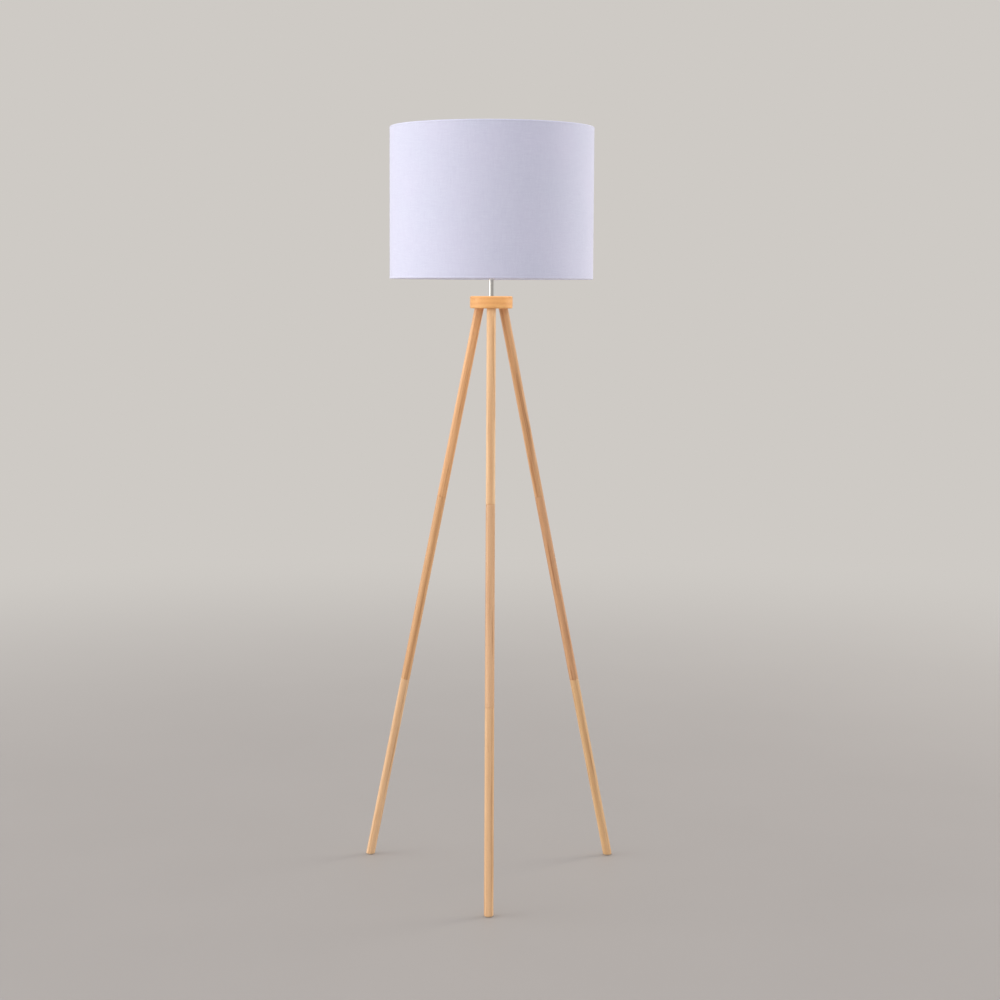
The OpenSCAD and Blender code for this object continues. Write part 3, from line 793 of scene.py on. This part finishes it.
def make_legs():
    upper_joint = LEG_TOP_S - LEG_SECTION_L
    lower_joint = LEG_TOP_S - 2 * LEG_SECTION_L
    spans = {
        "upper": (upper_joint, LEG_TOP_S, True, True),
        "middle": (lower_joint, upper_joint, True, True),
        "lower": (0.0, lower_joint, True, False),
    }
    for number, (side, azimuth) in enumerate(SIDES.items()):
        for index, (part, (s0, s1, stud, insert)) in enumerate(spans.items()):
            seed = 1.7 * number + 0.61 * index + 0.4
            section = f"{side}_{part}"
            light, dark = LEG_TONES_AND_PAINTED_LIGHT[section]
            material = wood(f"wood_{section}", srgb(*light), srgb(*dark), seed)
            outline = bar_profile(s0, s1, stud, insert)
            bar = leg_section(f"leg_{section}_bar", math.radians(azimuth), outline, seed, part == "lower")
            finished(bar, "stand", material, f"leg_{section}")


def make_pads():
    """Felt discs with a soft, slightly uneven rim."""
    material = felt()
    edge, top, rim = 0.6 * MM, PAD_T - 0.02 * MM, PAD_R * 0.98
    outline = [(0, top), (PAD_R / 2, top), *arc((rim - edge, PAD_T - edge), edge, 90, 0, 5)]
    outline += [*arc((rim - edge, edge), edge, 0, -90, 5), (PAD_R / 2, 0), (0, 0)]
    for number, (side, azimuth) in enumerate(SIDES.items()):

        def uneven(radii, angles, z, number=number):
            lumps = 0.012 * np.sin(7 * angles + number) + 0.008 * np.sin(19 * angles + 2 * number)
            return radii * (1 + lumps)

        place = toward(math.radians(azimuth), PAD_CIRCLE_R, 0, 0)
        turned_part(f"foot_pad_{side}", "felt", outline, "stand", "foot_felt", material,
                    segments=64, shape=uneven, place=place)


def hex_shape(flats):
    """Turns a ring into a hexagon of the given distance across flats, with its corners trimmed round."""
    def shape(radii, angles, z):
        reach = flats / 2 / np.cos((angles + math.pi / 6) % (math.pi / 3) - math.pi / 6)
        return np.where(radii > flats / 2 * 0.9, np.minimum(reach, radii), radii)
    return shape


def make_stem():
    """Plated stem tube with rolled pipe threads at both ends."""
    low, high = (c.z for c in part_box("stem_tube"))
    crest, root, bore = 5.0 * MM, 4.4 * MM, 4.0 * MM
    thread_r, thread_root_r = crest - 0.02 * MM, root + 0.1 * MM
    bevel, runout, chamfer = 0.4 * MM, 0.6 * MM, 0.2 * MM
    lower_thread = HUB_LOW.z + 20 * MM
    upper_thread = HOLDER_LOW.z + 0.5 * MM
    outline = [(bore, low + bevel), (bore + 0.3 * MM, low), (root, low)]
    outline += thread(thread_r, thread_root_r, PIPE_PITCH, low + chamfer, lower_thread)
    outline += [(crest, lower_thread + runout)]
    outline += [(crest, z) for z in np.linspace(lower_thread + 2 * MM, upper_thread - 2 * MM, 12)]
    outline += [(crest, upper_thread - runout)]
    outline += thread(thread_r, thread_root_r, PIPE_PITCH, upper_thread, high - chamfer)
    outline += [(root, high), (bore + 0.3 * MM, high), (bore, high - bevel)]
    chrome = metal("plated_steel", srgb(232, 229, 224), srgb(222, 219, 214), 0.11, (60, 60, 900), 0.02)
    turned_part("stem_tube", "plated", outline, "stand", "plated_steel", chrome, segments=96, closed=True)


def make_washer(material):
    low, high = (c.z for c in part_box("stem_washer"))
    inner, outer, edge = 5.2 * MM, 9.5 * MM, 0.18 * MM
    outline = rounded_loop([
        (inner, low, edge), (outer, low, edge), (outer, high, edge), (inner, high, edge)])
    turned_part("stem_washer", "plated", outline, "stand", "zinc_steel", material, segments=96, closed=True)


def make_lock_nut(material):
    """Thin hexagon nut, its corners chamfered round, with a pipe thread inside."""
    low, high = (c.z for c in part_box("stem_lock_nut"))
    flats, bore = 14 * MM, 5.45 * MM
    side = [
        (bore, 0), (6.6 * MM, 0), (flats / 2, 0.02 * MM), (7.5 * MM, 0.3 * MM),
        (flats / 2 / math.cos(math.pi / 6), 0.62 * MM),
    ]
    outline = [(r, low + z) for r, z in side] + [(r, high - z) for r, z in reversed(side)]
    outline += thread(5.06 * MM, 5.4 * MM, PIPE_PITCH, high - 0.25 * MM, low + 0.25 * MM)
    turned_part("stem_lock_nut", "hex", outline, "stand", "zinc_steel", material,
                segments=144, closed=True, shape=hex_shape(flats), sharp_deg=20)


def make_cord_bush():
    low, high = (c.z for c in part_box("cord_bush"))
    bore, neck, flange, flange_top = 3.1 * MM, 3.95 * MM, 5.6 * MM, low + 1.5 * MM
    outline = rounded_loop([
        (bore, low, 0.9 * MM), (flange, low, 0.6 * MM), (flange, flange_top, 0.3 * MM),
        (neck, flange_top, 0.1 * MM), (neck, high, 0.4 * MM), (bore, high, 0.2 * MM),
    ])
    nylon = plastic("bush_plastic", srgb(236, 235, 231), srgb(226, 225, 220), 0.42)
    turned_part("cord_bush", "nylon", outline, "stand", "bush_plastic", nylon, segments=72, closed=True)


# ---- Lampholder ----

def make_holder_cap(white):
    outline = rounded_loop(raised(HOLDER_LOW.z, [
        (5.05, 0, 0.3), (8.5, 0, 0.8), (8.5, 7.2, 2.0), (16.2, 10.6, 4.5), (19, 18, 3.0), (19, 25, 0.5),
        (17, 25, 0.2), (17, 18, 2.5), (14.6, 12.6, 3.0), (10, 11, 1.2), (5.05, 11, 0.3),
    ]), steps=8)
    turned_part("lampholder_cap", "shell", outline, "stand", "holder_plastic", white, closed=True)


def make_holder_skirt(white):
    """Skirt with a flange, the barrel thread outside and the lamp thread inside."""
    base = HOLDER_LOW.z
    outline = rounded(raised(base, [
        (15.05, 24, 0), (15.05, 20, 0.2), (16.95, 20, 0.3), (16.95, 25, 0), (22.5, 25, 0.6),
        (22.5, 28, 0.6), (19.0, 28, 0),
    ]))
    outline += thread(19.8 * MM, 18.7 * MM, BARREL_PITCH, base + 28.4 * MM, base + 55.8 * MM, "vee", 12)
    outline += rounded(raised(base, [(18.7, 56, 0), (18.7, 57, 0.5), (14, 57, 0.4), (14, 56, 0)]))
    outline += thread(14.0 * MM, 13.3 * MM, LAMP_PITCH, base + 55.6 * MM, base + 31.5 * MM, "round", 14)
    outline += rounded(raised(base, [(13.3, 31, 0), (13.3, 27.5, 0), (15.05, 27.5, 0)]))
    turned_part("lampholder_skirt", "shell", outline, "stand", "holder_plastic", white,
                segments=144, closed=True)


def make_retaining_ring(white):
    """Flanged ring with moulded finger ribs and a coarse thread inside."""
    low, high = RETAINER_LOW.z, RETAINER_HIGH.z
    ribs, rib_h = 24, 0.9 * MM
    wall, flange, flange_t = 24 * MM, 27 * MM, 2.5 * MM

    def ribbed(radii, angles, z):
        swell = rib_h * np.maximum(0, np.cos(ribs * angles)) ** 0.8
        fade = ramp((z - low - flange_t) / (1.5 * MM)) * ramp((high - 0.2 * MM - z) / (1.4 * MM))
        on_wall = (radii > wall - 1.1 * MM) & (radii < wall + 0.1 * MM)
        return np.where(on_wall, radii + swell * fade, radii)

    outline = rounded([
        (20.2 * MM, low + 0.4 * MM, 0), (20.5 * MM, low, 0.2 * MM), (flange, low, 0.5 * MM),
        (flange, low + flange_t, 0.8 * MM), (wall, low + flange_t, 0.5 * MM),
    ])
    outline += [(wall, z) for z in np.linspace(low + 3.2 * MM, high - 1.2 * MM, 16)]
    outline += arc((wall - 1 * MM, high - 1 * MM), 1 * MM, 0, 90, 5)
    outline += [(20.6 * MM, high), (20.3 * MM, high - 0.4 * MM)]
    outline += thread(19.9 * MM, 20.6 * MM, BARREL_PITCH, high - 0.6 * MM, low + 0.6 * MM, "vee", 12)
    turned_part("shade_retaining_ring", "moulded", outline, "retaining_ring", "holder_plastic", white,
                segments=192, closed=True, shape=ribbed)


# ---- Shade ----

def drum_points(radii, heights, angles):
    """A grid of points round the lamp's axis."""
    r, z, a = np.broadcast_arrays(radii, heights, angles)
    return np.stack([r * np.cos(a), r * np.sin(a), z], -1)


def shell(name, show, back, across, up, kept):
    """A closed thin sheet between two grids of points. kept says which cells are sheet, and across
    and up are each column's and row's place on the flat sheet."""
    rows, columns = show.shape[:2]
    count = rows * columns
    points = np.concatenate([show.reshape(-1, 3), back.reshape(-1, 3)])
    grain = np.stack(np.broadcast_arrays(across[None, :], up[:, None], 0.0), -1).reshape(-1, 3)
    places = np.concatenate([grain, grain])
    faces, edges = [], {}
    for i in range(rows - 1):
        for j in range(columns - 1):
            if not kept[i, j]:
                continue
            a, b = i * columns + j, i * columns + j + 1
            c, d = (i + 1) * columns + j + 1, (i + 1) * columns + j
            faces += [(a, b, c, d), (count + d, count + c, count + b, count + a)]
            for edge in ((a, b), (b, c), (c, d), (d, a)):
                if (edge[1], edge[0]) in edges:
                    del edges[(edge[1], edge[0])]
                else:
                    edges[edge] = True
    faces += [(q, p, count + p, count + q) for p, q in edges]
    used = np.unique(np.array([i for f in faces for i in f]))
    renumber = {int(old): new for new, old in enumerate(used)}
    faces = [tuple(renumber[i] for i in f) for f in faces]
    return mesh_object(name, points[used], faces, grain=places[used], sharp_deg=50)


def cloth_profile():
    """Show side of the cloth: from the lower hem's edge on the liner, round the lower ring, up the wall
    and round the upper ring to the other hem's edge.

    Returns the path and how far each point is into a hem (1 at its edge, negative for the lower hem)."""
    wall_r = SHADE_R - 0.28 * MM
    ring_side_r = SHADE_R - 2 * FOLD_R
    low, high = FOLD_R, SHADE_H - FOLD_R
    lean = HEM_EDGE_R - ring_side_r
    hem = [
        (ring_side_r + lean * float(ramp((h - low - 0.4 * MM) / (5.2 * MM))), h)
        for h in np.linspace(HEM_H, low, 16)[:-1]
    ]
    # Between the ring and the wall the cloth draws in a little: (height over the ring, depth).
    waist = [(0.8, 0.04), (1.7, 0.22), (2.3, 0.36), (2.8, 0.38), (3.5, 0.30)]
    drawn_in = [(SHADE_R - depth * MM, low + h * MM) for h, depth in waist]
    wall = [(wall_r, h) for h in np.linspace(low + 5 * MM, high - 5 * MM, 25)]

    def at_top(points):
        return [(r, SHADE_H - h) for r, h in reversed(points)]

    path = hem + arc((SHADE_R - FOLD_R, low), FOLD_R, 180, 360, 14) + drawn_in + wall
    path += at_top(drawn_in) + arc((SHADE_R - FOLD_R, high), FOLD_R, 0, 180, 14) + at_top(hem)
    into = np.zeros(len(path))
    into[: len(hem)] = -np.linspace(1, 0, len(hem))
    into[-len(hem):] = np.linspace(0, 1, len(hem))
    return np.array(path), into


def around():
    """Angles round the shade with a line at each side of each arm's notch, and half a notch's angle."""
    half = NOTCH_W / 2 / (SHADE_R - 2 * FOLD_R)
    start = SHADE_BACK - SEAM_LAP / SHADE_R
    angles = list(np.linspace(start, SHADE_BACK + TAU, 421))
    for azimuth in SIDES.values():
        middle = math.radians(azimuth)
        while middle < start:
            middle += TAU
        for side in (middle - half, middle + half):
            nearest = min(range(len(angles)), key=lambda i, side=side: abs(angles[i] - side))
            angles[nearest] = side
    return np.array(angles), half


def make_cloth(material):
    """One strip of cloth: rolled round both rings, tucked in, notched at the arms, lapped at the back."""
    path, into = cloth_profile()
    angles, half = around()
    step = np.gradient(path, axis=0)
    step /= np.linalg.norm(step, axis=1)[:, None]
    normal = np.stack([step[:, 1], -step[:, 0]], 1)
    length = np.concatenate([[0], np.cumsum(np.linalg.norm(np.diff(path, axis=0), axis=1))])
    around_m = (angles - angles[0]) * SHADE_R
    # The last stretch of the strip lies on the first one, a cloth's thickness proud.
    lap_start = around_m[-1] - SEAM_LAP - 5 * MM
    lap = ramp((around_m - lap_start) / (4 * MM)) * (CLOTH_T + 0.05 * MM)
    pucker = 0.06 * MM * np.sin(around_m / (5.3 * MM)) * (0.6 + 0.4 * np.sin(around_m / (47 * MM)))
    pucker += 0.03 * MM * np.sin(around_m / (2.1 * MM) + 1.3)
    lift = lap + np.clip(np.abs(into), 0.12, 0.8)[:, None] * pucker

    def placed(depth):
        r, z = (path[:, i, None] + normal[:, i, None] * (lift - depth) for i in (0, 1))
        return drum_points(r, z + SHADE_Z, angles)

    kept = np.ones((len(path) - 1, len(angles) - 1), bool)
    middle_a = (angles[1:] + angles[:-1]) / 2
    in_notch = (into[1:] < 0) & (into[:-1] < 0)
    for azimuth in SIDES.values():
        off = (middle_a - math.radians(azimuth) + math.pi) % TAU - math.pi
        kept[np.ix_(in_notch, np.abs(off) < half)] = False
    piece = shell("shade_cloth_cover", placed(0), placed(CLOTH_T), around_m, length, kept)
    finished(piece, "shade", material, "shade_fabric")


def make_liner(material):
    """Thin film behind the cloth, its ends lapped at the back."""
    start = SHADE_BACK + 0.5
    angles = np.linspace(start, start + TAU + LINER_LAP / LINER_R, 241)
    heights = np.linspace(SHADE_Z + FOLD_R, SHADE_Z + SHADE_H - FOLD_R, 13)
    under = ramp(((angles - start - TAU) * LINER_R + 4 * MM) / (3 * MM)) * (LINER_T + 0.03 * MM)

    def placed(depth):
        return drum_points(LINER_R - depth - under, heights[:, None], angles)

    kept = np.ones((len(heights) - 1, len(angles) - 1), bool)
    piece = shell("shade_liner_film", placed(0), placed(LINER_T), angles * LINER_R, heights, kept)
    finished(piece, "shade", material, "shade_liner")


def make_rings(material):
    """The two wire rings."""
    angles = SHADE_BACK + np.arange(240) / 240 * TAU
    for node, z in (("shade_bottom_ring", FOLD_R), ("shade_top_ring", SHADE_H - FOLD_R)):
        path = drum_points(WIRE_CENTRE_R, SHADE_Z + z, angles)
        wire = swept(f"{node}_wire", path, WIRE_R * 0.985, closed=True)
        finished(wire, "shade", material, node)


def make_spider_arms(material):
    """Three bent arms, each welded to the lower ring and, at both its sides, to the centre ring."""
    arm_z = CENTRE_RING_LOW.z - ARM_R - 0.02 * MM
    start_r, seat_r, seat_across = 24.1 * MM, 26 * MM, 1.7 * MM
    foot_bead, seat_bead = (2.1 * MM, 2.9 * MM, 1.3 * MM), (2.2 * MM, 0.9 * MM, 0.85 * MM)
    bend_from = ARM_LEG_R - ARM_BEND_R
    foot_z = SHADE_Z + FOLD_R + WIRE_R * 0.55
    flat = [(r, arm_z) for r in np.linspace(start_r, bend_from, 26)]
    bend = arc((bend_from, arm_z - ARM_BEND_R), ARM_BEND_R, 90, 0, 16)[1:]
    down = [(ARM_LEG_R, z) for z in np.linspace(arm_z - ARM_BEND_R, foot_z, 6)[1:]]
    for side, azimuth in SIDES.items():
        a = math.radians(azimuth)
        wire = swept("wire", [toward(a, r, 0, z) for r, z in flat + bend + down], ARM_R, 24)
        foot = weld(toward(a, ARM_LEG_R, 0, foot_z + 0.1 * MM), a, foot_bead, 3)
        seats = [
            weld(toward(a, seat_r, k * seat_across, arm_z + 1 * MM), a, seat_bead, 5 + k) for k in (-1, 1)]
        arm = joined(f"spider_arm_{side}_wire", [wire, foot, *seats])
        finished(arm, "shade", material, f"spider_arm_{side}")


def make_spider_ring(material):
    low, high = CENTRE_RING_LOW.z, CENTRE_RING_HIGH.z
    inner, outer, edge, punched = 20.4 * MM, 28 * MM, 0.45 * MM, 0.3 * MM
    outline = rounded_loop([
        (inner, low, edge), (outer, low, punched), (outer, high, edge), (inner, high, punched)])
    turned_part("spider_centre_ring", "stamped", outline, "shade", "wire_white", material, closed=True)


def weld(centre, azimuth, half_sizes, seed):
    """A small lumpy bead of weld metal."""
    rows, columns = 9, 16
    points = []
    for i in range(rows + 1):
        tilt = math.pi * (i + 0.5) / (rows + 1)
        for k in range(columns):
            a = TAU * k / columns
            lump = 1 + 0.05 * math.sin(3 * a + seed) * math.sin(tilt) + 0.04 * math.sin(5 * tilt + 2 * seed)
            direction = (math.sin(tilt) * math.cos(a), math.sin(tilt) * math.sin(a), math.cos(tilt))
            x, y, z = (half * d * lump for half, d in zip(half_sizes, direction))
            points.append(Vector(centre) + Vector(toward(azimuth, x, y, z)))
    rings = [list(range(i * columns, (i + 1) * columns)) for i in range(rows + 1)]
    faces = bands(rings) + [tuple(reversed(rings[0])), tuple(rings[-1])]
    return mesh_object("weld", points, faces, grain=points)


# ---- Bulb ----

def make_bulb_base(nickel):
    """Round tip contact, black insulator and the cap with its rolled lamp thread."""
    base = BULB_LOW.z
    outline = rounded(raised(base, [
        (0, 0, 0), (3.2, 0, 2.2), (4.6, 0.7, 0.5), (4.6, 1.4, 0.2), (0, 1.4, 0)]), 6)
    turned_part("bulb_tip_contact", "nickel", outline, "bulb_tip", "bulb_cap_nickel", nickel, segments=64)

    outline = rounded(raised(base, [
        (0, 1.42, 0), (5.2, 1.42, 0.3), (7.2, 2.6, 1.2), (11.2, 4.7, 0.8), (11.3, 5.48, 0.3),
        (0, 5.48, 0)]), 5)
    black = plastic("black_insulator", srgb(26, 25, 27), srgb(34, 33, 36), 0.2)
    turned_part("bulb_insulator", "moulded", outline, "bulb", "black_insulator", black, segments=96)

    outline = rounded(raised(base, [
        (11.6, 8, 0), (11.6, 6.1, 0.2), (10.8, 5.5, 0.2), (11.7, 5.5, 0.5), (12.3, 6.6, 0)]))
    outline += thread(13.1 * MM, 12.3 * MM, LAMP_PITCH, base + 6.7 * MM, base + 25.2 * MM, "round", 16)
    outline += rounded(raised(base, [(12.4, 25.4, 0), (12.7, 27, 0.3), (11.6, 27, 0.1), (11.6, 25, 0)]))
    turned_part("bulb_cap", "rolled", outline, "bulb", "bulb_cap_nickel", nickel, closed=True)


def make_bulb_housing():
    outline = rounded_loop(raised(BULB_LOW.z, [
        (11.1, 27, 0.1), (13.5, 27, 0.4), (14, 31, 6), (16, 39, 22), (25.5, 52, 22), (27.9, 60, 9),
        (28.5, 64, 0.2), (27.1, 64, 0.2), (26.5, 60, 9), (24.1, 52, 22), (14.6, 39, 22), (12.6, 31, 4),
        (11.1, 28.4, 0.2),
    ]), steps=10)
    white = plastic("bulb_plastic", srgb(243, 242, 239), srgb(236, 235, 231), 0.3)
    turned_part("bulb_housing", "moulded", outline, "bulb", "bulb_plastic", white, closed=True)


def make_bulb_globe():
    radius, wall = 30 * MM, 1.2 * MM
    rim, middle = BULB_LOW.z + 64.1 * MM, BULB_HIGH.z - radius

    def dome(r):
        """Points of one side of the wall from its rim to its crown."""
        return arc((0, middle), r, math.degrees(math.asin((rim - middle) / r)), 90, 48)

    outside, inside = dome(radius), dome(radius - wall)
    outline = [(0, outside[-1][1]), *reversed(outside[:-1]), *inside[:-1], (0, inside[-1][1])]
    turned_part("bulb_globe", "opal", outline, "bulb", "bulb_opal", opal())


# ---- CAD nodes that keep their shape ----

def repaint(material, *nodes):
    """Gives CAD nodes that keep their own shape a material."""
    for node in nodes:
        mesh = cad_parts[node].data
        mesh.materials.clear()
        mesh.materials.append(material)


def main():
    bpy.context.scene.view_settings.view_transform = "Standard"
    make_camera()
    make_world()
    make_lights()
    make_floor()

    make_legs()
    make_pads()
    make_stem()
    zinc_plate = zinc()
    make_washer(zinc_plate)
    make_lock_nut(zinc_plate)
    make_cord_bush()
    white = plastic("holder_plastic", srgb(236, 236, 232), srgb(228, 228, 223), 0.4)
    make_holder_cap(white)
    make_holder_skirt(white)
    make_retaining_ring(white)
    make_liner(film())
    wire = coated_wire()
    make_rings(wire)
    make_spider_arms(wire)
    make_spider_ring(wire)
    make_cloth(cloth())
    make_bulb_base(metal("bulb_cap_nickel", srgb(214, 211, 204), srgb(200, 197, 190), 0.22, (500, 500, 60)))
    make_bulb_housing()
    make_bulb_globe()

    # The hub's wood is lighter and more orange than the legs: partly its own tone, and partly painted light
    # from the bulb shining down on it
    hub_wood = wood("hub_wood", srgb(244, 186, 117), srgb(229, 159, 91), 2.3, "X", on_cad=True, streaky=0.2)
    repaint(hub_wood, "hub_disc")
    repaint(zinc_plate, "hub_leg_inserts", "leg_top_studs", "leg_joint_studs", "leg_joint_inserts",
            "stem_insert_nut", "lampholder_terminal_screws")
    repaint(metal("brass_contact", srgb(214, 178, 96), srgb(190, 150, 72), 0.3, on_cad=True),
            "lampholder_centre_contact", "lampholder_side_contacts", "lampholder_terminals")
    repaint(plastic("holder_core_plastic", srgb(236, 236, 232), srgb(228, 228, 223), 0.42, on_cad=True),
            "lampholder_core", "lampholder_grub_screw")
    repaint(circuit_board(), "bulb_driver")
    led_plate = metal("led_plate_metal", srgb(226, 228, 230), srgb(214, 216, 219), 0.4, metallic=0.6,
                      on_cad=True)
    repaint(led_plate, "bulb_led_plate")
    repaint(phosphor(), "bulb_leds")


main()
